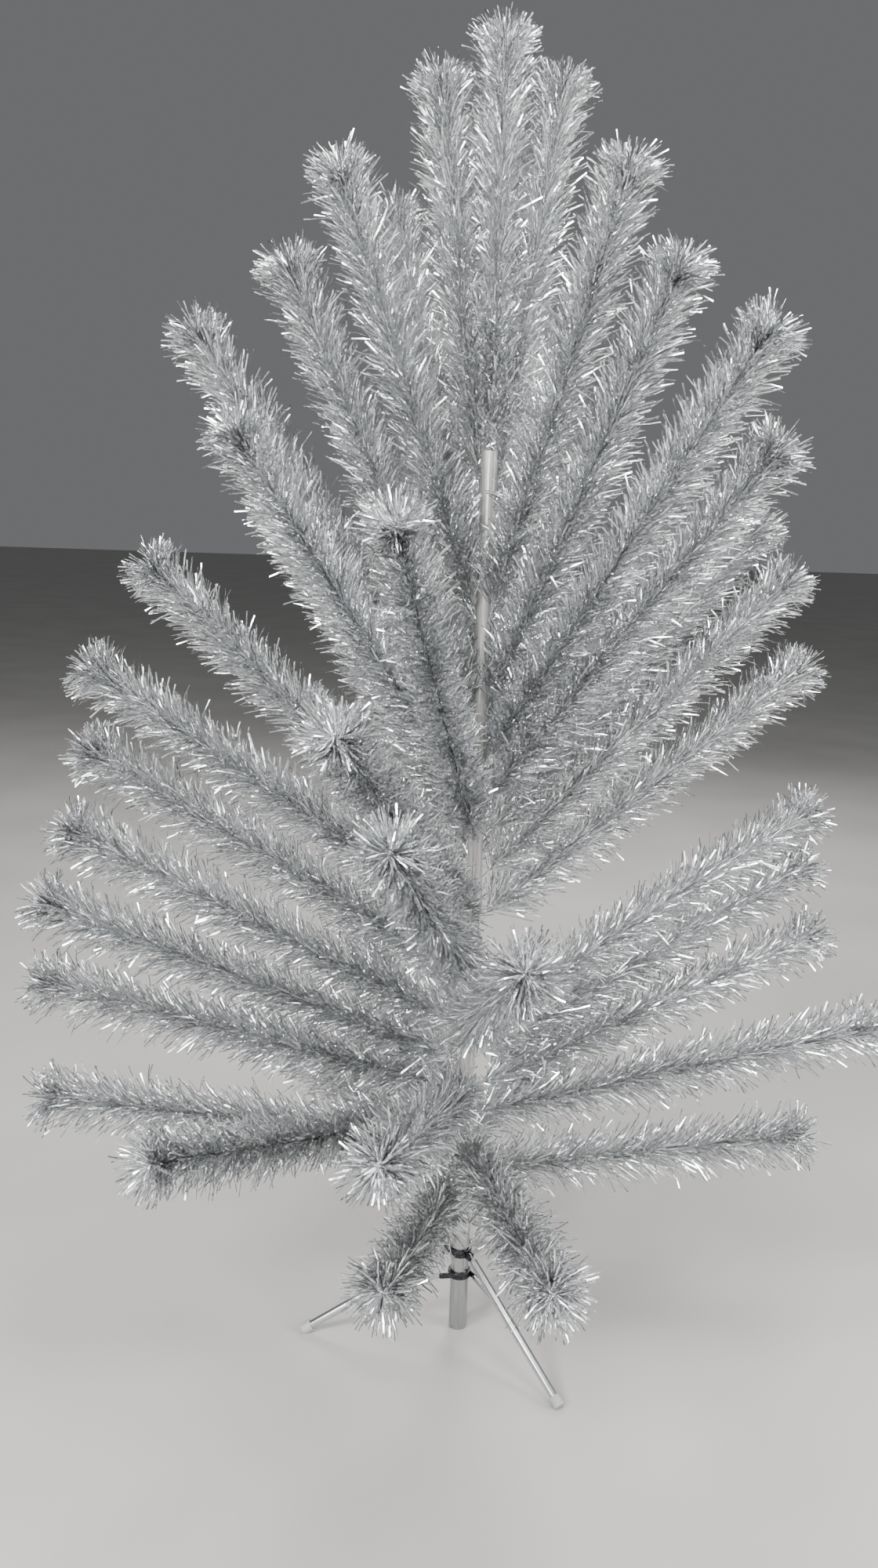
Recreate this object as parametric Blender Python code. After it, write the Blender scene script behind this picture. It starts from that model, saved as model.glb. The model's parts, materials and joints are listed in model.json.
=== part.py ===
"""A silver foil tree of the folding kind: a two-part wooden pole drilled with sloping holes, a foil branch
on a wire shank pushed into each hole, and a tripod stand whose three braced legs fold down along its tube.

Metres, +Z up. The origin is the centre of the stand tube's closed bottom, on the floor.
"""
import math

import bmesh
import bpy
from mathutils import Matrix, Vector

NAME = "foil_tree"

MM = 0.001

# Gaps between neighbouring pieces
CLEARANCE = 0.0003
FOIL_GAP = 0.0015

# Pole: two lengths of dowel that meet inside a metal sleeve, as long as its share of the gap between tiers
POLE_RADIUS = 0.011
POLE_TOP = 1.30
SLEEVE_SHARE = 0.72
SLEEVE_WALL = 0.0008

# Branches: a wire shank and six vanes that stand for the slit foil's full round
LOWEST_HOLE = 0.26
HIGHEST_HOLE_BELOW_TOP = 0.05
WIRE_RADIUS = 0.001
HOLE_RADIUS = 0.0016
CORE_LEFT = 0.0035
HOLE_MOUTH = 0.044
BARE_WIRE = 0.022
FOIL_RADIUS = 0.042
VANE_THICKNESS = 0.0006
VANES = 6
TIP_TAPER = 0.03
TIP_SHARE = 0.75
LEADER_LENGTH = 0.53
LEADER_HOLE = 0.028
BRANCH_SCALE = 1.0
SAMPLE_STEP = 0.01

# Each tier of holes from the lowest up: its share of the way to the highest hole, the branches' slope in
# degrees, their length in millimetres and the bearing of each in degrees, at least 60 degrees apart
TIERS = (
    (0.000, 11, 510, (258, 355, 140)),
    (0.045, 12, 620, (195, 278, 60)),
    (0.091, 14, 620, (231, 2, 112)),
    (0.131, 17, 640, (189, 260, 22)),
    (0.177, 22, 660, (186, 26, 100)),
    (0.232, 27, 650, (184, 22, 274)),
    (0.313, 31, 640, (184, 259, 122)),
    (0.394, 34, 650, (186, 22, 252)),
    (0.455, 44, 640, (182, 14, 96)),
    (0.515, 47, 630, (20, 140, 255)),
    (0.566, 53, 640, (216, 336, 90)),
    (0.626, 56, 700, (184, 323, 80)),
    (0.697, 65, 650, (198, 320, 92)),
    (0.828, 69, 610, (206, 312, 130)),
    (1.000, 82, 540, (165, 20)),
)
TIERS_ON_LOWER_POLE = 8

# Stand: a closed-bottomed tube, a hub fixed near its middle and a collar that slides below the hub
TUBE_FIT = 0.0005
TUBE_WALL = 0.002
TUBE_BASE = 0.002
TUBE_HEIGHT = 0.225
HUB_HEIGHT = 0.128
HUB_THICKNESS = 0.012
HUB_WALL = 0.0035
LUG_PLATE = 0.002
LUG_REACH = 0.0045
PIN_RADIUS = 0.0016
PIN_FIT = 0.0004
PIN_HEAD_RADIUS = 0.0028
PIN_HEAD = 0.0012

# Legs: round bar with a flat tongue at the hub end and a plastic cap at the floor
LEG_BEARINGS = (307, 187, 67)
LEG_RADIUS = 0.0062
LEG_SPREAD = 0.236
TONGUE_THICKNESS = 0.003
TONGUE_HALF_WIDTH = 0.0042
BAR_PAST_LUGS = 0.0009
CAP_WALL = 0.002
CAP_SOCKET = 0.016
CAP_END_HEIGHT = 0.003
CAP_BASE = 0.004

# Braces: flat strips from the collar's ears to half way along the legs
COLLAR_HEIGHT = 0.091
COLLAR_THICKNESS = 0.01
COLLAR_WALL = 0.0035
EAR_STANDOFF = 0.0135
EAR_THICKNESS = 0.0024
EAR_HALF_HEIGHT = 0.0045
BRACE_ALONG_LEG = 0.125
BRACE_THICKNESS = 0.0024
BRACE_HALF_WIDTH = 0.0038

SMOOTH_SIDES = 24
PIN_SIDES = 12
HOLE_SIDES = 6
BOX_CORNERS = 8
SHARP_EDGE = math.radians(35)

# Worked out from the sizes above
TUBE_BORE = POLE_RADIUS + TUBE_FIT
TUBE_RADIUS = TUBE_BORE + TUBE_WALL
COLLAR_BORE = TUBE_RADIUS + CLEARANCE
TONGUE_SWEEP = TONGUE_HALF_WIDTH * math.sqrt(2)
PIVOT_RADIUS = COLLAR_BORE + HUB_WALL + TONGUE_SWEEP + 2 * CLEARANCE
EAR_RADIUS = TUBE_RADIUS + EAR_STANDOFF
CAP_RADIUS = LEG_RADIUS + CLEARANCE + CAP_WALL
LEG_DROP = HUB_HEIGHT - CAP_END_HEIGHT
LEG_RUN = LEG_SPREAD - PIVOT_RADIUS
LEG_SLOPE = math.atan2(LEG_DROP, LEG_RUN)
CAP_END = math.hypot(LEG_DROP, LEG_RUN)
LUG_CORNER = LUG_REACH * math.cos(LEG_SLOPE) + HUB_THICKNESS / 2 * math.sin(LEG_SLOPE)
BAR_START = LUG_CORNER + BAR_PAST_LUGS
TONGUE_LENGTH = BAR_START + LEG_RADIUS
LEG_LENGTH = CAP_END - CAP_BASE
BRACE_OFFSET = LEG_RADIUS + CLEARANCE + BRACE_THICKNESS / 2
SLEEVE_RADIUS = POLE_RADIUS + CLEARANCE + SLEEVE_WALL
HIGHEST_HOLE = POLE_TOP - HIGHEST_HOLE_BELOW_TOP
FOIL_CLEAR_OF_POLE = SLEEVE_WALL + 2 * FOIL_GAP + 3 * WIRE_RADIUS
EAR_ROOT = COLLAR_BORE - 1.5 * COLLAR_WALL


def hole_height(tier):
    """Height of a tier's holes where they open on the pole's surface."""
    return LOWEST_HOLE + (HIGHEST_HOLE - LOWEST_HOLE) * TIERS[tier][0]


BELOW_JOINT = hole_height(TIERS_ON_LOWER_POLE - 1)
ABOVE_JOINT = hole_height(TIERS_ON_LOWER_POLE)
JOINT_HEIGHT = (BELOW_JOINT + ABOVE_JOINT) / 2
SLEEVE_LENGTH = SLEEVE_SHARE * (ABOVE_JOINT - BELOW_JOINT)


def clear_scene():
    for item in list(bpy.data.objects):
        bpy.data.objects.remove(item, do_unlink=True)


def new_collection(name):
    collection = bpy.data.collections.new(name)
    bpy.context.scene.collection.children.link(collection)
    return collection


clear_scene()
PARTS = new_collection(NAME)
CUTTERS = new_collection(NAME + "_cutters")


def material(name, colour, roughness, metallic):
    made = bpy.data.materials.new(name)
    made.use_nodes = True
    shader = made.node_tree.nodes["Principled BSDF"]
    shader.inputs["Base Color"].default_value = (*colour, 1.0)
    shader.inputs["Roughness"].default_value = roughness
    shader.inputs["Metallic"].default_value = metallic
    return made


WOOD = material("silver_painted_wood", (0.52, 0.52, 0.50), 0.5, 0.3)
STEEL = material("zinc_plated_steel", (0.55, 0.55, 0.54), 0.3, 1.0)
DARK_STEEL = material("dark_plated_steel", (0.16, 0.16, 0.17), 0.4, 1.0)
ALUMINIUM = material("drawn_aluminium_tube", (0.75, 0.76, 0.77), 0.25, 1.0)
FOIL = material("slit_aluminium_foil", (0.85, 0.86, 0.88), 0.2, 1.0)
PLASTIC = material("grey_vinyl", (0.42, 0.43, 0.43), 0.6, 0.0)


def turn_to(direction):
    """Rotation that takes +Z to the direction."""
    return Vector((0, 0, 1)).rotation_difference(Vector(direction)).to_matrix().to_4x4()


def add_cylinder(bm, start, end, radius, sides):
    start, end = Vector(start), Vector(end)
    place = Matrix.Translation((start + end) / 2) @ turn_to(end - start)
    bmesh.ops.create_cone(
        bm,
        cap_ends=True,
        segments=sides,
        radius1=radius,
        radius2=radius,
        depth=(end - start).length,
        matrix=place,
    )


def add_box(bm, low, high):
    low, high = Vector(low), Vector(high)
    place = Matrix.Translation((low + high) / 2) @ Matrix.Diagonal((*(high - low), 1.0))
    bmesh.ops.create_cube(bm, size=1.0, matrix=place)


def finish(name, bm, finish_material=None, collection=PARTS):
    mesh = bpy.data.meshes.new(name)
    bm.to_mesh(mesh)
    bm.free()
    item = bpy.data.objects.new(name, mesh)
    collection.objects.link(item)
    if finish_material:
        mesh.materials.append(finish_material)
        mesh.shade_smooth()
        mesh.set_sharp_from_angle(angle=SHARP_EDGE)
    else:
        item.hide_render = True
        item.display_type = "WIRE"
    return item


def solid(name, shapes, finish_material=None, collection=PARTS):
    """One object from a list of (function, arguments) shapes."""
    bm = bmesh.new()
    for shape, arguments in shapes:
        shape(bm, *arguments)
    return finish(name, bm, finish_material, collection)


def boolean(item, operation, other):
    modifier = item.modifiers.new(other.name, "BOOLEAN")
    modifier.operation = operation
    modifier.solver = "EXACT"
    modifier.object = other


def cut(item, *shapes):
    """Takes each shape away from the item, one cutter for all of them, so they must not touch."""
    cutter = solid(f"{item.name}_cut_{len(item.modifiers)}", shapes, None, CUTTERS)
    cutter.parent = item
    boolean(item, "DIFFERENCE", cutter)


def join(item, *shapes):
    """Adds the shapes to the item one by one."""
    for shape in shapes:
        piece = solid(f"{item.name}_join_{len(item.modifiers)}", [shape], None, CUTTERS)
        piece.parent = item
        boolean(item, "UNION", piece)


def place(item, bearing, radius, height):
    """Puts a piece modelled at bearing 0, about its own joint, where it belongs."""
    item.rotation_euler = (0, 0, bearing)
    item.location = (radius * math.cos(bearing), radius * math.sin(bearing), height)


# ---- Branches ----


def tier_branches(tier):
    """(bearing, slope, length, hole height) of each branch of a tier."""
    _, slope, length, bearings = TIERS[tier]
    for bearing in bearings:
        yield math.radians(bearing), math.radians(slope), length * MM * BRANCH_SCALE, hole_height(tier)


def branch_line(bearing, slope, length, height):
    """The point where a branch leaves the pole, its direction, its length and its depth in the hole."""
    outward = Vector((math.cos(bearing), math.sin(bearing), 0))
    direction = outward * math.cos(slope) + Vector((0, 0, math.sin(slope)))
    depth = (POLE_RADIUS - CORE_LEFT) / math.cos(slope)
    return outward * POLE_RADIUS + Vector((0, 0, height)), direction, length, depth


BRANCHES = {}
for tier_number in range(len(TIERS)):
    for turn_number, chosen in enumerate(tier_branches(tier_number)):
        BRANCHES[f"branch_{tier_number + 1:02d}_{'abc'[turn_number]}"] = branch_line(*chosen)
BRANCHES["branch_top"] = (
    Vector((0, 0, POLE_TOP)),
    Vector((0, 0, 1)),
    LEADER_LENGTH,
    LEADER_HOLE,
)


def distance_to_segment(point, start, end):
    along = end - start
    share = (point - start).dot(along) / along.length_squared
    return (point - (start + along * min(1.0, max(0.0, share)))).length


def free_radius(name, distance):
    """How far foil may reach from a branch's wire here, so that it stays nearer its own wire than any other
    branch's, also when one of them is drawn out of its hole, and clear of the pole."""
    start, direction, _, _ = BRANCHES[name]
    point = start + direction * distance
    room = math.inf
    for other, (other_start, other_direction, other_length, other_depth) in BRANCHES.items():
        if other != name:
            end = other_start + other_direction * (other_length + other_depth)
            room = min(room, distance_to_segment(point, other_start, end) / 2)
    if name != "branch_top":
        pole = distance_to_segment(point, Vector((0, 0, 0)), Vector((0, 0, POLE_TOP)))
        room = min(room, pole - max(SLEEVE_RADIUS, TUBE_RADIUS))
    return room - FOIL_GAP


def foil_stations(name):
    """Distances along the wire and the foil's radius there: a cone that opens to a plain round length."""
    _, direction, length, depth = BRANCHES[name]
    lean = math.hypot(direction.x, direction.y)
    begin = BARE_WIRE
    if name != "branch_top":
        begin = max(BARE_WIRE, FOIL_CLEAR_OF_POLE / lean)
    steps = int((length + depth - begin) / SAMPLE_STEP)
    samples = [begin + SAMPLE_STEP * (step + 1) for step in range(steps)]
    room = {distance: free_radius(name, distance) for distance in samples}
    spread = min((room[distance] - WIRE_RADIUS) / (distance - begin) for distance in samples)
    full = begin + (FOIL_RADIUS - WIRE_RADIUS) / spread
    taper = length - TIP_TAPER
    if full > taper - SAMPLE_STEP:
        full = taper - SAMPLE_STEP
    radius = WIRE_RADIUS + spread * (full - begin)
    return (begin, WIRE_RADIUS), (full, radius), (taper, radius), (length, radius * TIP_SHARE)


def vane_outline(radius):
    """A star of thin vanes: two corners at each vane's edge and one in each valley."""
    half = VANE_THICKNESS / 2
    valley = half / math.sin(math.pi / VANES)
    for vane in range(VANES):
        turn = Matrix.Rotation(2 * math.pi * vane / VANES, 2)
        yield turn @ Vector((radius, -half))
        yield turn @ Vector((radius, half))
        yield Matrix.Rotation(math.pi / VANES, 2) @ turn @ Vector((valley, 0))


def add_vanes(bm, stations):
    """Lofts the star outline from station to station, as its vanes widen while its valleys don't."""
    rings = []
    for distance, radius in stations:
        rings.append([bm.verts.new((*corner, distance)) for corner in vane_outline(radius)])
    for lower, upper in zip(rings, rings[1:]):
        for corner in range(len(lower)):
            bm.faces.new((lower[corner - 1], lower[corner], upper[corner], upper[corner - 1]))
    bm.faces.new(reversed(rings[0]))
    bm.faces.new(rings[-1])


def make_branch(name):
    start, direction, _, depth = BRANCHES[name]
    stations = [(CLEARANCE - depth, WIRE_RADIUS), *foil_stations(name)]
    item = solid(name, [(add_vanes, (stations,))], FOIL)
    item.rotation_mode = "QUATERNION"
    item.rotation_quaternion = Vector((0, 0, 1)).rotation_difference(direction)
    item.location = start
    return item


# ---- Pole ----


def hole(name):
    start, direction, _, depth = BRANCHES[name]
    ends = (start - direction * depth, start + direction * HOLE_MOUTH)
    return add_cylinder, (*ends, HOLE_RADIUS, HOLE_SIDES)


def make_pole():
    lower_bottom = TUBE_BASE + CLEARANCE
    lower = solid(
        "pole_lower",
        [(add_cylinder, ((0, 0, lower_bottom), (0, 0, JOINT_HEIGHT), POLE_RADIUS, SMOOTH_SIDES))],
        WOOD,
    )
    upper_bottom = JOINT_HEIGHT + CLEARANCE
    upper = solid(
        "pole_upper",
        [(add_cylinder, ((0, 0, upper_bottom), (0, 0, POLE_TOP), POLE_RADIUS, SMOOTH_SIDES))],
        WOOD,
    )
    for tier in range(len(TIERS)):
        names = [name for name in BRANCHES if name.startswith(f"branch_{tier + 1:02d}")]
        cut(lower if tier < TIERS_ON_LOWER_POLE else upper, *[hole(name) for name in names])
    cut(upper, hole("branch_top"))
    half = SLEEVE_LENGTH / 2
    middle = JOINT_HEIGHT + CLEARANCE / 2
    sleeve = solid(
        "pole_sleeve",
        [(add_cylinder, ((0, 0, middle - half), (0, 0, middle + half), SLEEVE_RADIUS, SMOOTH_SIDES))],
        STEEL,
    )
    bore = SLEEVE_RADIUS - SLEEVE_WALL
    cut(sleeve, (add_cylinder, ((0, 0, middle - 2 * half), (0, 0, middle + 2 * half), bore, SMOOTH_SIDES)))


# ---- Stand ----


def make_tube():
    tube = solid(
        "stand_tube",
        [(add_cylinder, ((0, 0, 0), (0, 0, TUBE_HEIGHT), TUBE_RADIUS, SMOOTH_SIDES))],
        STEEL,
    )
    above = TUBE_HEIGHT + TUBE_WALL
    cut(tube, (add_cylinder, ((0, 0, TUBE_BASE), (0, 0, above), TUBE_BORE, SMOOTH_SIDES)))


def around(shape_low, shape_high):
    """Where a box modelled at bearing 0 lands at each leg's bearing."""
    for bearing in LEG_BEARINGS:
        yield turned_box, (shape_low, shape_high, math.radians(bearing))


def turned_box(bm, low, high, bearing):
    add_box(bm, low, high)
    turn_last(bm, BOX_CORNERS, bearing)


def turned_cylinder(bm, start, end, radius, sides, bearing):
    add_cylinder(bm, start, end, radius, sides)
    turn_last(bm, 2 * sides, bearing)


def turn_last(bm, count, bearing):
    bm.verts.ensure_lookup_table()
    verts = bm.verts[-count:]
    bmesh.ops.rotate(bm, verts=verts, cent=(0, 0, 0), matrix=Matrix.Rotation(bearing, 3, "Z"))


def make_hub():
    """A ring clamped round the tube, with two lugs and a riveted pin for each leg."""
    low = HUB_HEIGHT - HUB_THICKNESS / 2
    high = HUB_HEIGHT + HUB_THICKNESS / 2
    hub = solid(
        "leg_hub",
        [(add_cylinder, ((0, 0, low), (0, 0, high), COLLAR_BORE + HUB_WALL, SMOOTH_SIDES))],
        DARK_STEEL,
    )
    inner = TONGUE_THICKNESS / 2 + CLEARANCE
    outer = inner + LUG_PLATE
    reach = PIVOT_RADIUS + LUG_REACH
    for side in (-1, 1):
        edges = sorted((side * inner, side * outer))
        lug = ((COLLAR_BORE + HUB_WALL / 2, edges[0], low), (reach, edges[1], high))
        join(hub, *around(*lug))
    head = outer + PIN_HEAD
    for bearing in LEG_BEARINGS:
        angle = math.radians(bearing)
        pivot = (PIVOT_RADIUS, 0, HUB_HEIGHT)
        pin = ((pivot[0], -head, pivot[2]), (pivot[0], head, pivot[2]), PIN_RADIUS, PIN_SIDES, angle)
        join(hub, (turned_cylinder, pin))
        for side in (-1, 1):
            near = (pivot[0], side * (outer - CLEARANCE), pivot[2])
            far = (pivot[0], side * head, pivot[2])
            join(hub, (turned_cylinder, (near, far, PIN_HEAD_RADIUS, PIN_SIDES, angle)))
    cut(hub, (add_cylinder, ((0, 0, 0), (0, 0, TUBE_HEIGHT), COLLAR_BORE, SMOOTH_SIDES)))


def make_collar():
    """The sliding ring under the hub, with an ear and a pin for each brace."""
    low = COLLAR_HEIGHT - COLLAR_THICKNESS / 2
    high = COLLAR_HEIGHT + COLLAR_THICKNESS / 2
    collar = solid(
        "brace_collar",
        [(add_cylinder, ((0, 0, low), (0, 0, high), COLLAR_BORE + COLLAR_WALL, SMOOTH_SIDES))],
        DARK_STEEL,
    )
    inner = BRACE_OFFSET + BRACE_THICKNESS / 2 + CLEARANCE
    outer = inner + EAR_THICKNESS
    reach = EAR_RADIUS + EAR_HALF_HEIGHT
    ear_low = (EAR_ROOT, inner, COLLAR_HEIGHT - EAR_HALF_HEIGHT)
    ear_high = (reach, outer, COLLAR_HEIGHT + EAR_HALF_HEIGHT)
    join(collar, *around(ear_low, ear_high))
    near = inner - BRACE_THICKNESS - CLEARANCE
    for bearing in LEG_BEARINGS:
        angle = math.radians(bearing)
        start = (EAR_RADIUS, near, COLLAR_HEIGHT)
        end = (EAR_RADIUS, outer + PIN_HEAD, COLLAR_HEIGHT)
        join(collar, (turned_cylinder, (start, end, PIN_RADIUS, PIN_SIDES, angle)))
    cut(collar, (add_cylinder, ((0, 0, 0), (0, 0, HUB_HEIGHT), COLLAR_BORE, SMOOTH_SIDES)))


def along_leg(distance, side=0.0):
    """A point on a leg, from its pivot, in the leg's own plane at bearing 0."""
    return Vector((distance * math.cos(LEG_SLOPE), side, -distance * math.sin(LEG_SLOPE)))


def add_tongue(bm):
    half = TONGUE_THICKNESS / 2
    add_box(bm, (-TONGUE_HALF_WIDTH, -half, -TONGUE_HALF_WIDTH), (TONGUE_LENGTH, half, TONGUE_HALF_WIDTH))
    bmesh.ops.rotate(bm, verts=bm.verts, cent=(0, 0, 0), matrix=Matrix.Rotation(LEG_SLOPE, 3, "Y"))


def make_leg(number, bearing):
    bar_start = along_leg(BAR_START)
    leg = solid(
        f"leg_{number}",
        [(add_cylinder, (bar_start, along_leg(LEG_LENGTH), LEG_RADIUS, SMOOTH_SIDES))],
        ALUMINIUM,
    )
    join(leg, (add_tongue, ()))
    hole_radius = PIN_RADIUS + PIN_FIT
    cut(leg, (add_cylinder, ((0, -LEG_RADIUS, 0), (0, LEG_RADIUS, 0), hole_radius, PIN_SIDES)))
    place(leg, bearing, PIVOT_RADIUS, HUB_HEIGHT)


def make_cap(number, bearing):
    """A plastic cap over the leg's end, cut off level where it stands on the floor."""
    cap = solid(
        f"foot_cap_{number}",
        [(add_cylinder, (along_leg(CAP_END - CAP_SOCKET), along_leg(CAP_END), CAP_RADIUS, SMOOTH_SIDES))],
        PLASTIC,
    )
    bore = LEG_RADIUS + CLEARANCE
    inner_end = along_leg(LEG_LENGTH + CLEARANCE)
    cut(cap, (add_cylinder, (along_leg(CAP_END - 2 * CAP_SOCKET), inner_end, bore, SMOOTH_SIDES)))
    floor_low = (0, -2 * CAP_RADIUS, -HUB_HEIGHT - 2 * CAP_SOCKET)
    floor_high = (2 * LEG_SPREAD, 2 * CAP_RADIUS, -HUB_HEIGHT)
    cut(cap, (add_box, (floor_low, floor_high)))
    place(cap, bearing, PIVOT_RADIUS, HUB_HEIGHT)


def make_brace(number, bearing):
    """A flat strip beside the leg, from the collar's pin to the rivet on the leg."""
    target = along_leg(BRACE_ALONG_LEG) + Vector((PIVOT_RADIUS - EAR_RADIUS, 0, HUB_HEIGHT - COLLAR_HEIGHT))
    slope = math.atan2(-target.z, target.x)
    length = target.length
    low = BRACE_OFFSET - BRACE_THICKNESS / 2
    high = BRACE_OFFSET + BRACE_THICKNESS / 2
    brace = solid(
        f"brace_{number}",
        [(turned_strip, ((0, low, -BRACE_HALF_WIDTH), (length, high, BRACE_HALF_WIDTH), slope))],
        ALUMINIUM,
    )
    for end in (0.0, length):
        x, z = end * math.cos(slope), -end * math.sin(slope)
        join(brace, (add_cylinder, ((x, low, z), (x, high, z), BRACE_HALF_WIDTH, SMOOTH_SIDES)))
    rivet = (length * math.cos(slope), -length * math.sin(slope))
    near, far = (rivet[0], high - CLEARANCE, rivet[1]), (rivet[0], high + PIN_HEAD, rivet[1])
    join(brace, (add_cylinder, (near, far, PIN_HEAD_RADIUS, PIN_SIDES)))
    hole_radius = PIN_RADIUS + PIN_FIT
    through = ((0, low - BRACE_THICKNESS, 0), (0, high + BRACE_THICKNESS, 0))
    cut(brace, (add_cylinder, (*through, hole_radius, PIN_SIDES)))
    place(brace, bearing, EAR_RADIUS, COLLAR_HEIGHT)


def turned_strip(bm, low, high, slope):
    add_box(bm, low, high)
    bmesh.ops.rotate(bm, verts=bm.verts, cent=(0, 0, 0), matrix=Matrix.Rotation(slope, 3, "Y"))


def main():
    make_tube()
    make_hub()
    make_collar()
    for number, degrees in enumerate(LEG_BEARINGS, start=1):
        bearing = math.radians(degrees)
        make_leg(number, bearing)
        make_cap(number, bearing)
        make_brace(number, bearing)
    make_pole()
    for name in BRANCHES:
        make_branch(name)
    bpy.context.view_layer.update()


main()
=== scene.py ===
"""The looks of the foil tree: wound slit-foil branches on twisted wire, a silver-painted pole and its
folding stand.

Metres, +Z up, in the part's own frame.
"""
import json
import math

import bmesh
import bpy
import numpy as np
from mathutils import Matrix, Vector

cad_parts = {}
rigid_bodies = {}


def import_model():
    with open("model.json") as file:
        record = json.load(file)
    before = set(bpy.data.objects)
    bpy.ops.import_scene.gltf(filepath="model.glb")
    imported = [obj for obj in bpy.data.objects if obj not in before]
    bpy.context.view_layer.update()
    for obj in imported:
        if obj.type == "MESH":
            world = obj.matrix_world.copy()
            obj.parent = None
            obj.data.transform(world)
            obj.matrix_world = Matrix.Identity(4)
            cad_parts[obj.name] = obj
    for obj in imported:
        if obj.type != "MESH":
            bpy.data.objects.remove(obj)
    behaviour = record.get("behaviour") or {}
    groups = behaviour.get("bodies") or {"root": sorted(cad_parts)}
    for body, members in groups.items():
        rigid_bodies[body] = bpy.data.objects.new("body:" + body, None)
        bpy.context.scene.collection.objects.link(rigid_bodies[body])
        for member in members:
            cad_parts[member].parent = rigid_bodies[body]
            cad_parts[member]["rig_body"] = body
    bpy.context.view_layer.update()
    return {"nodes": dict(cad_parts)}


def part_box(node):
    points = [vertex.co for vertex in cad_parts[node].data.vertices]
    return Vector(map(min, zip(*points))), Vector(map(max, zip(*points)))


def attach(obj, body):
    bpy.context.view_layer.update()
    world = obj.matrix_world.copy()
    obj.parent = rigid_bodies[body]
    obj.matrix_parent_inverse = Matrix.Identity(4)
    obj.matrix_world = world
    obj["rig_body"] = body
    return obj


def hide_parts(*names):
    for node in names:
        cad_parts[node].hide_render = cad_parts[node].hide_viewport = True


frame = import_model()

NODES = frame["nodes"]
MM = 0.001

# Branch foil: needles slit from a strip and wound round the wire
NEEDLE_WIDTH = 1.8 * MM
NEEDLE_LENGTH = 62 * MM
NEEDLE_STEPS = 4
NEEDLE_CORNERS = 2 * (NEEDLE_STEPS + 1)
NEEDLES_PER_METRE = 4400
NEEDLES_PER_TURN = 17.4
WOUND_AT_ONCE = 64
NEEDLE_SWEEP = math.radians(41)
FOIL_START = 14 * MM
TIP_REACH = 30 * MM
TUFT = 34 * MM
TUFT_CROWDING = 2.0
ROOT_HALF_WIDTH = 0.35 * NEEDLE_WIDTH
HALF_WIDTH = 0.5 * NEEDLE_WIDTH
FIRST_SEED = 1960

# A needle that would meet the pole is shortened until it keeps this far from it
POLE_GAP = 1 * MM
SHORTENINGS = 4
SHORTENED_TO = 0.62

# Branch wire: two strands twisted where they show and straight inside the foil
STRAND = 0.55 * MM
TWIST_STEPS = 10
TWIST_LAY = 8 * MM
TWIST_SHOWN = 64 * MM

# Pole and stand, as the part is made; a size ending in SOFT is how far an edge is rounded
POLE_LOW, POLE_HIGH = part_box("pole_upper")
POLE_TOP = POLE_HIGH.z
POLE_RADIUS = (POLE_HIGH.x - POLE_LOW.x) / 2
TUBE_RADIUS = 13.5 * MM
TUBE_BORE = 11.5 * MM
TUBE_TOP = 225 * MM
TUBE_FLOOR = 2 * MM
TUBE_FOOT_SOFT = 0.8 * MM
TUBE_LIP_SOFT = 0.5 * MM
TUBE_GROOVE_DEPTH = 0.5 * MM
RING_BORE = 13.8 * MM
RING_RADIUS = 17.3 * MM
HUB_HEIGHT = 128 * MM
HUB_HALF = 6 * MM
COLLAR_HEIGHT = 91 * MM
COLLAR_HALF = 5 * MM
PIVOT_OUT = 23.84 * MM
LUG_ROOT = 15.6 * MM
LUG_TIP = 28.3 * MM
LUG_INSIDE = 1.8 * MM
LUG_OUTSIDE = 3.8 * MM
EAR_OUT = 27 * MM
EAR_ROOT = 12 * MM
EAR_HALF = 4.5 * MM
PIN_RADIUS = 1.6 * MM
PIN_PAST_BRACE = 0.1 * MM
RIVET_RADIUS = 2.8 * MM
RIVET_HEIGHT = 1.2 * MM
RIVET_SUNK = 0.2 * MM
LEG_BEARINGS = (307, 187, 67)
LEG_RADIUS = 6.2 * MM
LEG_DROP = 125 * MM
LEG_SPREAD = 236 * MM
LEG_SLOPE = math.atan2(LEG_DROP, LEG_SPREAD - PIVOT_OUT)
BAR_START = 7.8 * MM
TONGUE_LENGTH = 14 * MM
TONGUE_WIDTH = 8.4 * MM
TONGUE_HALF = 1.5 * MM
LEG_END = 242.2 * MM
CAP_END = 246.2 * MM
CAP_MOUTH = CAP_END - 16 * MM
FIT = 0.3 * MM
CAP_BORE = LEG_RADIUS + FIT
CAP_RIM_SOFT = 0.6 * MM
CAP_END_SOFT = 1.6 * MM
CAP_RADIUS = 8.5 * MM
BRACE_SIDE = 7.7 * MM
BRACE_HALF = 1.2 * MM
BRACE_WIDTH = 7.6 * MM
EAR_INSIDE = 9.2 * MM
EAR_OUTSIDE = 11.6 * MM
BRACE_ALONG_LEG = 125 * MM
PIN_SOFT = 0.1 * MM
PLATE_SOFT = 0.7 * MM
RING_SOFT = 0.8 * MM
BAR_SOFT = 1.6 * MM
STRIP_SOFT = 0.35 * MM
TONGUE_SOFT = 0.4 * MM
ROUND_SIDES = 40
SMOOTH_ANGLE = math.radians(40)


# ---- Materials ----


def srgb(code):
    """Turns an sRGB hex colour linear."""
    parts = [int(code[at : at + 2], 16) / 255 for at in (1, 3, 5)]
    return tuple(p / 12.92 if p <= 0.04045 else ((p + 0.055) / 1.055) ** 2.4 for p in parts) + (1.0,)


def add_node(tree, kind, settings=(), values=(), links=()):
    """Adds a node, sets its properties and inputs, and links (input, node, output) to it."""
    node = tree.nodes.new(kind)
    for name, value in dict(settings).items():
        setattr(node, name, value)
    for name, value in dict(values).items():
        node.inputs[name].default_value = value
    for name, source, output in links:
        tree.links.new(source.outputs[output], node.inputs[name])
    return node


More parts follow.
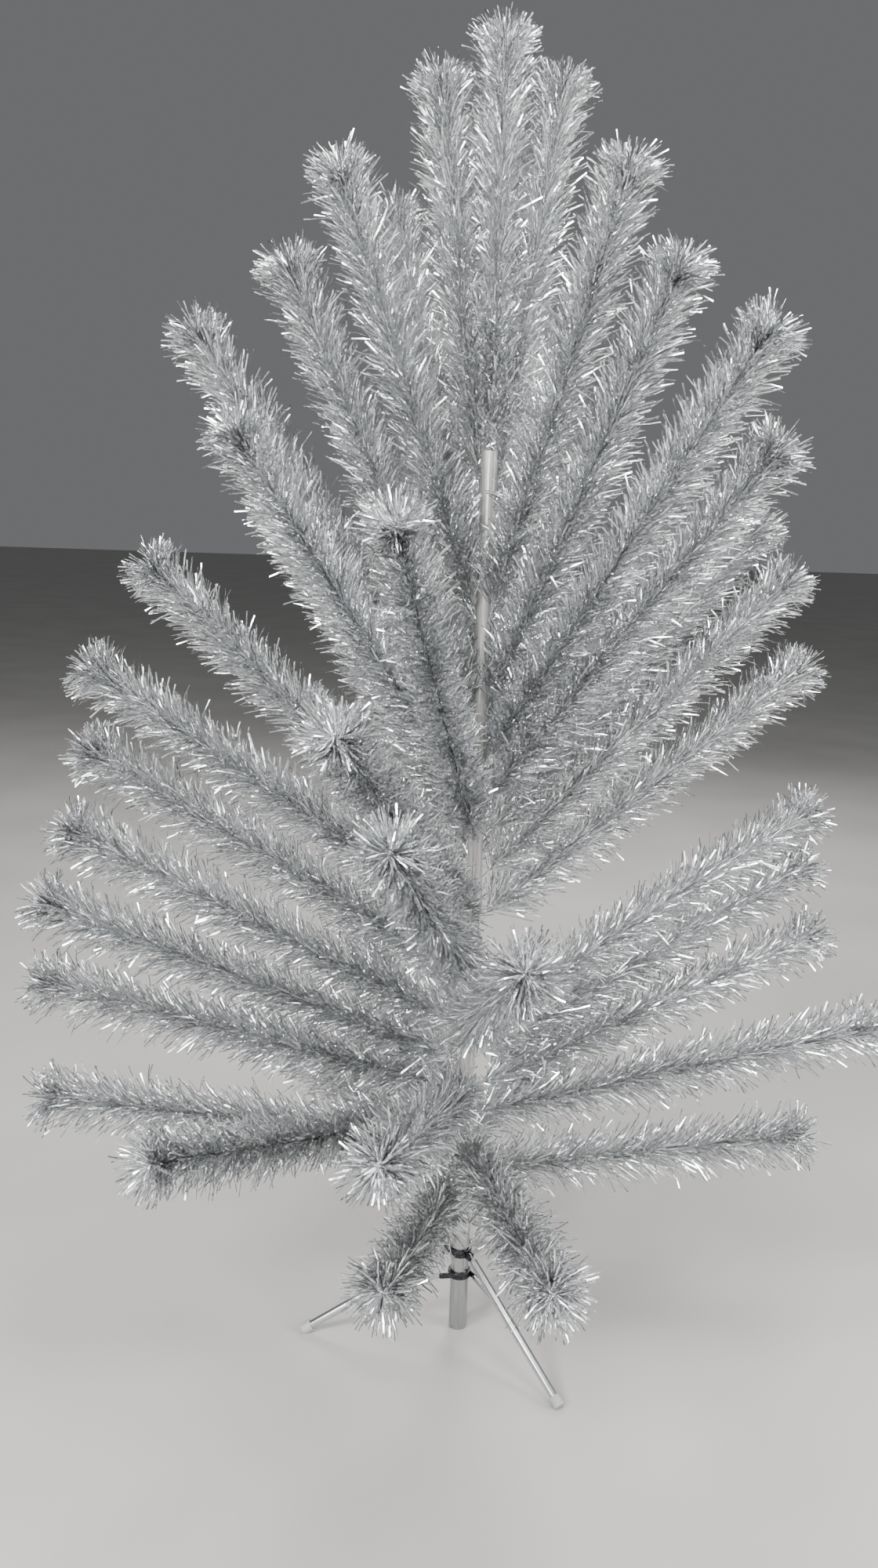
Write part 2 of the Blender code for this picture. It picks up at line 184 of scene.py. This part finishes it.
def new_material(name, roughness, metallic=0.0):
    made = bpy.data.materials.new(name)
    made.use_nodes = True
    shader = made.node_tree.nodes["Principled BSDF"]
    shader.inputs["Roughness"].default_value = roughness
    shader.inputs["Metallic"].default_value = metallic
    return made, made.node_tree, shader


def noise(tree, size, detail=2.0, stretch=(1, 1, 1)):
    """Noise on Object coordinates with blotches of the given size, stretched where stretch is below 1."""
    place = add_node(tree, "ShaderNodeTexCoord")
    scaled = add_node(
        tree, "ShaderNodeMapping", values={"Scale": stretch}, links=[("Vector", place, "Object")]
    )
    return add_node(
        tree,
        "ShaderNodeTexNoise",
        values={"Scale": 1 / size, "Detail": detail},
        links=[("Vector", scaled, "Vector")],
    )


def tint(tree, shader, source, stops):
    """Colours the shader by the source's value, from (place, colour) stops."""
    node = add_node(tree, "ShaderNodeValToRGB", links=[("Fac", source, "Fac")])
    elements = node.color_ramp.elements
    while len(elements) < len(stops):
        elements.new(0.5)
    for element, (place, colour) in zip(elements, stops):
        element.position = place
        element.color = srgb(colour)
    tree.links.new(node.outputs["Color"], shader.inputs["Base Color"])


def relief(tree, shader, source, depth):
    """Bumps the surface by the source's value, to the given depth in metres."""
    bump = add_node(
        tree, "ShaderNodeBump", values={"Strength": 1.0, "Distance": depth}, links=[("Height", source, "Fac")]
    )
    tree.links.new(bump.outputs["Normal"], shader.inputs["Normal"])


def slit_aluminium_foil():
    """Rolled aluminium foil slit into needles: a bright mirror whose tone shifts from needle to needle."""
    made, tree, shader = new_material("slit_aluminium_foil", 0.2, 1.0)
    tint(tree, shader, noise(tree, 2.5 * MM, 1.0), [(0.34, "#c0c6cc"), (0.5, "#e8eaec"), (0.64, "#fbf9f5")])
    return made


def galvanised_wire():
    """Galvanised steel wire: dull grey zinc with faint spangle."""
    made, tree, shader = new_material("galvanised_wire", 0.38, 1.0)
    tint(tree, shader, noise(tree, 2 * MM), [(0.3, "#8d9094"), (0.7, "#b4b6b8")])
    return made


def silver_painted_wood():
    """A wooden dowel in thin silver paint: the grain shows through as long faint streaks."""
    made, tree, shader = new_material("silver_painted_wood", 0.42, 0.45)
    grain = noise(tree, 1.6 * MM, 4.0, (1, 1, 0.035))
    tint(tree, shader, grain, [(0.3, "#7d7c79"), (0.52, "#a3a29f"), (0.75, "#b7b6b3")])
    relief(tree, shader, grain, 0.12 * MM)
    return made


def zinc_plated_steel():
    """Bright zinc plate on rolled steel: soft cloudy grey with faint draw lines down the tube."""
    made, tree, shader = new_material("zinc_plated_steel", 0.24, 1.0)
    lines = noise(tree, 2.5 * MM, 3.0, (1, 1, 0.06))
    tint(tree, shader, lines, [(0.3, "#a3a5a6"), (0.7, "#b6b7b7")])
    relief(tree, shader, lines, 0.03 * MM)
    return made


def dark_plated_steel():
    """Blackened steel fittings: near black with a low sheen, greyer in patches where handling rubs it."""
    made, tree, shader = new_material("dark_plated_steel", 0.4, 1.0)
    tint(tree, shader, noise(tree, 3 * MM, 3.0), [(0.35, "#2b2c2f"), (0.7, "#55565a")])
    return made


def drawn_aluminium():
    """Drawn aluminium bar: pale satin metal with fine drag marks."""
    made, tree, shader = new_material("drawn_aluminium", 0.3, 1.0)
    marks = noise(tree, 0.9 * MM, 3.0, (0.3, 0.3, 0.6))
    tint(tree, shader, marks, [(0.3, "#b4b6b9"), (0.7, "#d9dadb")])
    relief(tree, shader, marks, 0.02 * MM)
    return made


def grey_vinyl():
    """Moulded grey vinyl: soft, matt and faintly pebbled."""
    made, tree, shader = new_material("grey_vinyl", 0.55)
    pebble = noise(tree, 0.8 * MM, 2.0)
    tint(tree, shader, pebble, [(0.3, "#8e8f8d"), (0.7, "#a2a3a1")])
    relief(tree, shader, pebble, 0.05 * MM)
    return made


FOIL = slit_aluminium_foil()
WIRE = galvanised_wire()
WOOD = silver_painted_wood()
ZINC = zinc_plated_steel()
DARK = dark_plated_steel()
ALUMINIUM = drawn_aluminium()
VINYL = grey_vinyl()


# ---- Shapes ----


def show(name, mesh, material, node, replace=True):
    """Puts a finished mesh on show, riding the node's body and standing for the node."""
    mesh.materials.append(material)
    piece = bpy.data.objects.new(name, mesh)
    bpy.context.scene.collection.objects.link(piece)
    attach(piece, NODES[node]["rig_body"])
    if replace:
        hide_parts(node)


def merged(name, shapes):
    """One mesh from a list of (shape, where it goes), smooth but for its sharp edges."""
    whole = bmesh.new()
    for shape, place in shapes:
        bmesh.ops.recalc_face_normals(shape, faces=shape.faces)
        shape.transform(place)
        passed = bpy.data.meshes.new("passed")
        shape.to_mesh(passed)
        shape.free()
        whole.from_mesh(passed)
        bpy.data.meshes.remove(passed)
    mesh = bpy.data.meshes.new(name)
    whole.to_mesh(mesh)
    whole.free()
    mesh.shade_smooth()
    mesh.set_sharp_from_angle(angle=SMOOTH_ANGLE)
    return mesh


def turned(profile, closed=False):
    """A shape turned about Z from (radius, height) corners."""
    shape = bmesh.new()
    verts = [shape.verts.new((radius, 0, height)) for radius, height in profile]
    edges = [shape.edges.new(pair) for pair in zip(verts, verts[1:])]
    if closed:
        edges.append(shape.edges.new((verts[-1], verts[0])))
    bmesh.ops.spin(
        shape, geom=verts + edges, axis=(0, 0, 1), angle=2 * math.pi, steps=ROUND_SIDES, use_merge=True
    )
    bmesh.ops.remove_doubles(shape, verts=shape.verts, dist=0.001 * MM)
    return shape


def corner(radius, height, size, start):
    """Five points round a quarter circle about (radius, height), from the start angle in degrees."""
    for step in range(5):
        angle = math.radians(start + 22.5 * step)
        yield radius + size * math.cos(angle), height + size * math.sin(angle)


def ring(bore, radius, low, high, soft):
    """A turned ring with soft outer edges and a crisp bore."""
    outside = [*corner(radius - soft, low + soft, soft, -90), *corner(radius - soft, high - soft, soft, 0)]
    return turned([(bore, low), *outside, (bore, high)], closed=True)


def rod(radius, low, high, soft):
    """A turned rod with soft ends."""
    outside = [*corner(radius - soft, low + soft, soft, -90), *corner(radius - soft, high - soft, soft, 0)]
    return turned([(0, low), *outside, (0, high)])


def dome(radius, height):
    """A rivet's domed head on a flat back."""
    turns = [math.radians(degrees) for degrees in range(0, 90, 15)]
    rise = [(radius * math.cos(turn), height * math.sin(turn)) for turn in turns]
    return turned([(0, -RIVET_SUNK), (radius, -RIVET_SUNK), *rise, (0, height)])


def plate(low, high, soft):
    """A box with softly rounded edges."""
    low, high = Vector(low), Vector(high)
    shape = bmesh.new()
    place = Matrix.Translation((low + high) / 2) @ Matrix.Diagonal((*(high - low), 1))
    bmesh.ops.create_cube(shape, size=1, matrix=place)
    bmesh.ops.bevel(
        shape, geom=shape.edges[:], offset=soft, segments=3, affect="EDGES", profile=0.5, material=-1
    )
    return shape


def link_bar(length, width, low, high, soft):
    """A flat bar along X with round ends, between two Y values, with softened rims."""
    shape = bmesh.new()
    for end in (0, length):
        place = Matrix.Translation((end, (low + high) / 2, 0)) @ Matrix.Rotation(math.pi / 2, 4, "X")
        bmesh.ops.create_cone(
            shape,
            cap_ends=True,
            segments=32,
            radius1=width / 2,
            radius2=width / 2,
            depth=high - low,
            matrix=place,
        )
    hull = bmesh.ops.convex_hull(shape, input=shape.verts[:])
    spare = {item for key in ("geom_interior", "geom_unused") for item in hull[key]}
    bmesh.ops.delete(shape, geom=[v for v in shape.verts if v in spare], context="VERTS")
    bmesh.ops.dissolve_limit(shape, angle_limit=math.radians(1), verts=shape.verts, edges=shape.edges)
    rims = [edge for edge in shape.edges if edge.calc_face_angle(0) > SMOOTH_ANGLE]
    bmesh.ops.bevel(shape, geom=rims, offset=soft, segments=2, affect="EDGES", profile=0.5, material=-1)
    return shape


def at(x, y, z):
    return Matrix.Translation((x, y, z))


def facing(direction):
    """Turns +Z to the direction."""
    return Vector((0, 0, 1)).rotation_difference(Vector(direction)).to_matrix().to_4x4()


def bearing_turn(degrees):
    return Matrix.Rotation(math.radians(degrees), 4, "Z")


# ---- Stand ----


def make_tube():
    """The stand's tube, with a rolled groove under its lip."""
    foot, lip_soft, groove = TUBE_FOOT_SOFT, TUBE_LIP_SOFT, TUBE_RADIUS - TUBE_GROOVE_DEPTH
    outside = [*corner(TUBE_RADIUS - foot, foot, foot, -90)]
    lip = [*corner(TUBE_RADIUS - lip_soft, TUBE_TOP - lip_soft, lip_soft, 0)]
    bead = [(TUBE_RADIUS, TUBE_TOP - 9 * MM), (groove, TUBE_TOP - 8 * MM)]
    bead += [(groove, TUBE_TOP - 7 * MM), (TUBE_RADIUS, TUBE_TOP - 6 * MM)]
    inside = [(TUBE_BORE, TUBE_TOP), (TUBE_BORE, TUBE_FLOOR), (0, TUBE_FLOOR)]
    shape = turned([(0, 0), *outside, *bead, *lip, *inside])
    show("stand_tube_rolled", merged("stand_tube", [(shape, at(0, 0, 0))]), ZINC, "stand_tube")


def make_hub():
    """The fixed ring with its lugs and rivets."""
    low, high = HUB_HEIGHT - HUB_HALF, HUB_HEIGHT + HUB_HALF
    shapes = [(ring(RING_BORE, RING_RADIUS, low, high, RING_SOFT), at(0, 0, 0))]
    for bearing in LEG_BEARINGS:
        turn = bearing_turn(bearing)
        for side in (-1, 1):
            edges = sorted((side * LUG_INSIDE, side * LUG_OUTSIDE))
            lug = plate((LUG_ROOT, edges[0], low), (LUG_TIP, edges[1], high), PLATE_SOFT)
            shapes.append((lug, turn))
            head = at(PIVOT_OUT, side * LUG_OUTSIDE, HUB_HEIGHT) @ facing((0, side, 0))
            shapes.append((dome(RIVET_RADIUS, RIVET_HEIGHT), turn @ head))
        pin = at(PIVOT_OUT, 0, HUB_HEIGHT) @ facing((0, 1, 0))
        shapes.append((rod(PIN_RADIUS, -LUG_OUTSIDE, LUG_OUTSIDE, PIN_SOFT), turn @ pin))
    show("leg_hub_riveted", merged("leg_hub", shapes), DARK, "leg_hub")


def make_collar():
    """The sliding ring with an ear and a rivet for each brace, flush inside so that the leg folds past it."""
    low, high = COLLAR_HEIGHT - COLLAR_HALF, COLLAR_HEIGHT + COLLAR_HALF
    shapes = [(ring(RING_BORE, RING_RADIUS, low, high, RING_SOFT), at(0, 0, 0))]
    for bearing in LEG_BEARINGS:
        turn = bearing_turn(bearing)
        root = (EAR_ROOT, EAR_INSIDE, COLLAR_HEIGHT - EAR_HALF)
        tip = (EAR_OUT + EAR_HALF, EAR_OUTSIDE, COLLAR_HEIGHT + EAR_HALF)
        shapes.append((plate(root, tip, PLATE_SOFT), turn))
        head = at(EAR_OUT, EAR_OUTSIDE, COLLAR_HEIGHT) @ facing((0, 1, 0))
        shapes.append((dome(RIVET_RADIUS, RIVET_HEIGHT), turn @ head))
        pin = at(EAR_OUT, 0, COLLAR_HEIGHT) @ facing((0, 1, 0))
        inner = BRACE_SIDE - BRACE_HALF - PIN_PAST_BRACE
        shapes.append((rod(PIN_RADIUS, inner, EAR_OUTSIDE, PIN_SOFT), turn @ pin))
    show("brace_collar_riveted", merged("brace_collar", shapes), DARK, "brace_collar")


def make_leg(number, bearing):
    """A round bar, flattened to a tongue at the hub, and its moulded cap cut level with the floor."""
    pivot = bearing_turn(bearing) @ at(PIVOT_OUT, 0, HUB_HEIGHT)
    down = pivot @ facing((math.cos(LEG_SLOPE), 0, -math.sin(LEG_SLOPE)))
    slope = pivot @ Matrix.Rotation(LEG_SLOPE, 4, "Y")
    tongue = link_bar(TONGUE_LENGTH, TONGUE_WIDTH, -TONGUE_HALF, TONGUE_HALF, TONGUE_SOFT)
    shapes = [(rod(LEG_RADIUS, BAR_START, LEG_END, BAR_SOFT), down), (tongue, slope)]
    far = slope @ at(BRACE_ALONG_LEG, -LEG_RADIUS + RIVET_SUNK, 0) @ facing((0, -1, 0))
    shapes.append((dome(RIVET_RADIUS, RIVET_HEIGHT), far))
    show(f"leg_{number}_bar", merged(f"leg_{number}", shapes), ALUMINIUM, f"leg_{number}")

    rim, end = CAP_RIM_SOFT, CAP_END_SOFT
    outside = [*corner(CAP_RADIUS - rim, CAP_MOUTH + rim, rim, -90)]
    outside += [*corner(CAP_RADIUS - end, CAP_END - end, end, 0)]
    inside = [(0, LEG_END + FIT), (CAP_BORE, LEG_END + FIT), (CAP_BORE, CAP_MOUTH)]
    cap = turned([*inside, *outside, (0, CAP_END)])
    cap.transform(down)
    floor = {"plane_co": (0, 0, 0), "plane_no": (0, 0, -1)}
    bmesh.ops.bisect_plane(cap, geom=cap.verts[:] + cap.edges[:] + cap.faces[:], clear_outer=True, **floor)
    bmesh.ops.holes_fill(cap, edges=[edge for edge in cap.edges if edge.is_boundary], sides=0)
    mesh = merged(f"foot_cap_{number}", [(cap, at(0, 0, 0))])
    show(f"foot_cap_{number}_moulded", mesh, VINYL, f"foot_cap_{number}")


def make_brace(number, bearing):
    """A flat strip with round ends and a rivet head where it meets the leg."""
    start = Vector((EAR_OUT, 0, COLLAR_HEIGHT))
    along = Vector((math.cos(LEG_SLOPE), 0, -math.sin(LEG_SLOPE))) * BRACE_ALONG_LEG
    reach = Vector((PIVOT_OUT, 0, HUB_HEIGHT)) + along - start
    slope = math.atan2(-reach.z, reach.x)
    place = bearing_turn(bearing) @ Matrix.Translation(start) @ Matrix.Rotation(slope, 4, "Y")
    low, high = BRACE_SIDE - BRACE_HALF, BRACE_SIDE + BRACE_HALF
    strip = link_bar(reach.length, BRACE_WIDTH, low, high, STRIP_SOFT)
    head = place @ at(reach.length, high, 0) @ facing((0, 1, 0))
    mesh = merged(f"brace_{number}", [(strip, place), (dome(RIVET_RADIUS, RIVET_HEIGHT), head)])
    show(f"brace_{number}_strip", mesh, ALUMINIUM, f"brace_{number}")


def make_sleeve():
    """The pole's joining sleeve with rolled ends."""
    low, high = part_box("pole_sleeve")
    shape = ring(POLE_RADIUS + FIT, high.x, low.z, high.z, STRIP_SOFT)
    mesh = merged("pole_sleeve", [(shape, at(0, 0, 0))])
    show("pole_sleeve_rolled", mesh, ZINC, "pole_sleeve")


def dress_pole():
    for node in ("pole_lower", "pole_upper"):
        NODES[node].data.materials.clear()
        NODES[node].data.materials.append(WOOD)


# ---- Branches ----


def branch_axis(node):
    """Where a branch starts in its hole, its direction and its length, from its own long shape."""
    mesh = NODES[node].data
    spots = np.zeros(len(mesh.vertices) * 3)
    mesh.vertices.foreach_get("co", spots)
    spots = spots.reshape(-1, 3)
    middle = spots.mean(0)
    axis = np.linalg.svd(spots - middle, full_matrices=False)[2][0]
    axis *= 1 if axis[2] > 0 else -1
    reach = (spots - middle) @ axis
    return Vector(middle + axis * reach.min()), Vector(axis), float(np.ptp(reach))


def depth_in_pole(start, axis):
    """How much of a branch's wire is hidden in its hole."""
    lean = math.hypot(axis.x, axis.y)
    if lean < 0.01:
        return POLE_TOP - start.z
    return (POLE_RADIUS - math.hypot(start.x, start.y)) / lean


def wound_foil(count):
    """Flat needles in one screw line: the first turns by spin, then doubled until there are enough."""
    winding = bmesh.new()
    bmesh.ops.create_grid(winding, x_segments=1, y_segments=NEEDLE_STEPS, size=0.5)
    step = 2 * math.pi / NEEDLES_PER_TURN
    bmesh.ops.spin(
        winding,
        geom=winding.verts[:] + winding.edges[:] + winding.faces[:],
        axis=(0, 0, 1),
        dvec=(0, 0, 1 / NEEDLES_PER_METRE),
        angle=step * (WOUND_AT_ONCE - 1),
        steps=WOUND_AT_ONCE - 1,
        use_duplicate=True,
    )
    made = WOUND_AT_ONCE
    mesh = bpy.data.meshes.new("winding")
    winding.to_mesh(mesh)
    while made < count:
        onward = Matrix.Translation((0, 0, made / NEEDLES_PER_METRE)) @ Matrix.Rotation(step * made, 4, "Z")
        mesh.transform(onward)
        winding.from_mesh(mesh)
        winding.to_mesh(mesh)
        made *= 2
    winding.free()
    return mesh


def spread_along(draw, count, length):
    """Where each needle leaves the wire: even along the foil and closer together over the tuft at its tip."""
    plain = length - TUFT
    along = (np.arange(count) + draw.random(count)) / count * (plain + TUFT_CROWDING * TUFT)
    return np.where(along < plain, along, plain + (along - plain) / TUFT_CROWDING)


def shape_needles(draw, count, length, start, axis):
    """The corners of every needle: swept towards the tip, curled and twisted, no two alike."""
    along = spread_along(draw, count, length)
    around = np.arange(count) * 2 * math.pi / NEEDLES_PER_TURN + draw.normal(0, 0.25, count)
    tuft = np.clip((along - length + TUFT) / TUFT, 0, 1)
    sweep = NEEDLE_SWEEP + draw.normal(0, 0.2, count) + tuft * draw.uniform(-0.15, 0.95, count)
    size = NEEDLE_LENGTH * draw.uniform(0.7, 1.08, count) * (1 - 0.25 * tuft)
    curl = draw.normal(0.1, 0.34, count)
    lean = draw.normal(0, 0.24, count)
    roll = draw.uniform(-1.4, 1.4, count)
    twist = draw.normal(0, 1.1, count)
    side = axis.orthogonal().normalized()
    across_axis = np.array(axis.cross(side))
    side = np.array(side)
    radial = np.cos(around)[:, None] * side + np.sin(around)[:, None] * across_axis
    tangent = -np.sin(around)[:, None] * side + np.cos(around)[:, None] * across_axis
    foot = np.array(start) + along[:, None] * np.array(axis) + radial * STRAND

    def middle_line(size):
        """Points down each needle's middle and its heading between them."""
        spots, headings = [foot], []
        for step in range(NEEDLE_STEPS):
            share = (step + 0.5) / NEEDLE_STEPS
            angle = (sweep + curl * (share - 0.35))[:, None]
            heading = np.sin(angle) * radial + np.cos(angle) * np.array(axis)
            heading += (lean * share)[:, None] * tangent
            heading /= np.linalg.norm(heading, axis=1)[:, None]
            spots.append(spots[-1] + heading * (size / NEEDLE_STEPS)[:, None])
            headings.append(heading)
        return spots, headings

    for _ in range(SHORTENINGS):
        size = np.where(meets_pole(middle_line(size)[0]), size * SHORTENED_TO, size)
    spots, headings = middle_line(size)
    corners = np.zeros((count, NEEDLE_STEPS + 1, 2, 3))
    for step, spot in enumerate(spots):
        heading = headings[min(step, NEEDLE_STEPS - 1)]
        turn = (roll + twist * step / NEEDLE_STEPS)[:, None]
        across = np.cos(turn) * tangent + np.sin(turn) * np.cross(heading, tangent)
        half = HALF_WIDTH if step else ROOT_HALF_WIDTH
        corners[:, step, 0] = spot - across * half
        corners[:, step, 1] = spot + across * half
    return corners.ravel()


def meets_pole(spots):
    """True for each needle that would run into the pole or the stand's tube."""
    hit = np.zeros(len(spots[0]), bool)
    for spot in spots[1:]:
        hit |= (np.hypot(spot[:, 0], spot[:, 1]) < TUBE_RADIUS + POLE_GAP) & (spot[:, 2] < POLE_TOP)
    return hit


def make_foil(number, node, winding):
    start, axis, length = branch_axis(node)
    bare = depth_in_pole(start, axis) + FOIL_START
    length -= bare + TIP_REACH
    count = int(NEEDLES_PER_METRE * length)
    foil = bmesh.new()
    foil.from_mesh(winding)
    foil.verts.ensure_lookup_table()
    bmesh.ops.delete(foil, geom=foil.verts[count * NEEDLE_CORNERS :], context="VERTS")
    mesh = bpy.data.meshes.new(f"foil_{node}")
    foil.to_mesh(mesh)
    foil.free()
    draw = np.random.default_rng(FIRST_SEED + number)
    mesh.vertices.foreach_set("co", shape_needles(draw, count, length, start + axis * bare, axis))
    mesh.update()
    show(f"foil_{node}", mesh, FOIL, node)


def make_wire(node):
    """Two strands: laid round each other where they show, and straight on inside the foil."""
    start, axis, length = branch_axis(node)
    wire = bmesh.new()
    turns = TWIST_SHOWN / TWIST_LAY
    for side in (-1, 1):
        ring_at = Matrix.Translation((side * STRAND, 0, 0))
        made = bmesh.ops.create_circle(wire, segments=6, radius=STRAND, matrix=ring_at)
        edges = list({edge for vert in made["verts"] for edge in vert.link_edges})
        steps = int(turns * TWIST_STEPS)
        spun = bmesh.ops.spin(
            wire,
            geom=edges,
            axis=(0, 0, 1),
            dvec=(0, 0, TWIST_SHOWN / steps),
            angle=2 * math.pi * turns,
            steps=steps,
        )
        last = [item for item in spun["geom_last"] if isinstance(item, bmesh.types.BMEdge)]
        onward = bmesh.ops.extrude_edge_only(wire, edges=last)
        verts = [item for item in onward["geom"] if isinstance(item, bmesh.types.BMVert)]
        bmesh.ops.translate(wire, verts=verts, vec=(0, 0, length - TIP_REACH - TWIST_SHOWN))
    bmesh.ops.holes_fill(wire, edges=[edge for edge in wire.edges if edge.is_boundary], sides=0)
    place = Matrix.Translation(start) @ facing(axis)
    show(f"wire_{node}", merged(node, [(wire, place)]), WIRE, node, replace=False)


def make_branches():
    names = sorted(node for node in NODES if node.startswith("branch_"))
    longest = max(branch_axis(node)[2] for node in names)
    winding = wound_foil(int(longest * NEEDLES_PER_METRE))
    for number, node in enumerate(names):
        make_foil(number, node, winding)
        make_wire(node)


# ---- Studio ----


def area_light(name, size, power, place):
    lamp = bpy.data.lights.new(name, "AREA")
    lamp.energy = power
    lamp.size = size
    made = bpy.data.objects.new(name, lamp)
    made.location = place
    made.rotation_euler = (Vector((0, 0, 0.9)) - Vector(place)).to_track_quat("-Z", "Y").to_euler()
    bpy.context.scene.collection.objects.link(made)


def make_studio():
    """A pale matt floor, an even grey surround and five soft lamps."""
    grid = bmesh.new()
    bmesh.ops.create_grid(grid, x_segments=1, y_segments=1, size=25)
    mesh = bpy.data.meshes.new("floor")
    grid.to_mesh(mesh)
    grid.free()
    floor = bpy.data.objects.new("floor", mesh)
    bpy.context.scene.collection.objects.link(floor)
    paint, tree, shader = new_material("matt_pale_floor", 0.7)
    tint(tree, shader, noise(tree, 0.4, 1.0), [(0.3, "#a4a29e"), (0.7, "#acaaa6")])
    mesh.materials.append(paint)
    world = bpy.data.worlds.new("studio")
    world.use_nodes = True
    surround = world.node_tree.nodes["Background"]
    surround.inputs["Color"].default_value = srgb("#8f9193")
    surround.inputs["Strength"].default_value = 0.55
    bpy.context.scene.world = world
    area_light("key", 1.1, 240, (-2.2, -2.4, 2.8))
    area_light("fill", 1.2, 130, (3.2, -1.2, 1.8))
    area_light("back", 1.4, 130, (0.6, 3.2, 3.0))
    area_light("top", 1.6, 120, (0.4, -0.6, 4.2))
    area_light("front", 0.9, 110, (-0.5, -3.0, 1.5))


def make_camera():
    lens = bpy.data.cameras.new("view")
    lens.sensor_fit = "VERTICAL"
    lens.angle = math.radians(60)
    camera = bpy.data.objects.new("view", lens)
    tilt = Matrix.Rotation(math.radians(90 - 12), 4, "X") @ Matrix.Rotation(math.radians(1.8), 4, "Z")
    camera.matrix_world = Matrix.Translation((-0.054, -1.86, 1.24)) @ tilt
    bpy.context.scene.collection.objects.link(camera)
    bpy.context.scene.camera = camera


make_tube()
make_hub()
make_collar()
for leg_number, leg_bearing in enumerate(LEG_BEARINGS, start=1):
    make_leg(leg_number, leg_bearing)
    make_brace(leg_number, leg_bearing)
make_sleeve()
dress_pole()
make_branches()
make_studio()
make_camera()
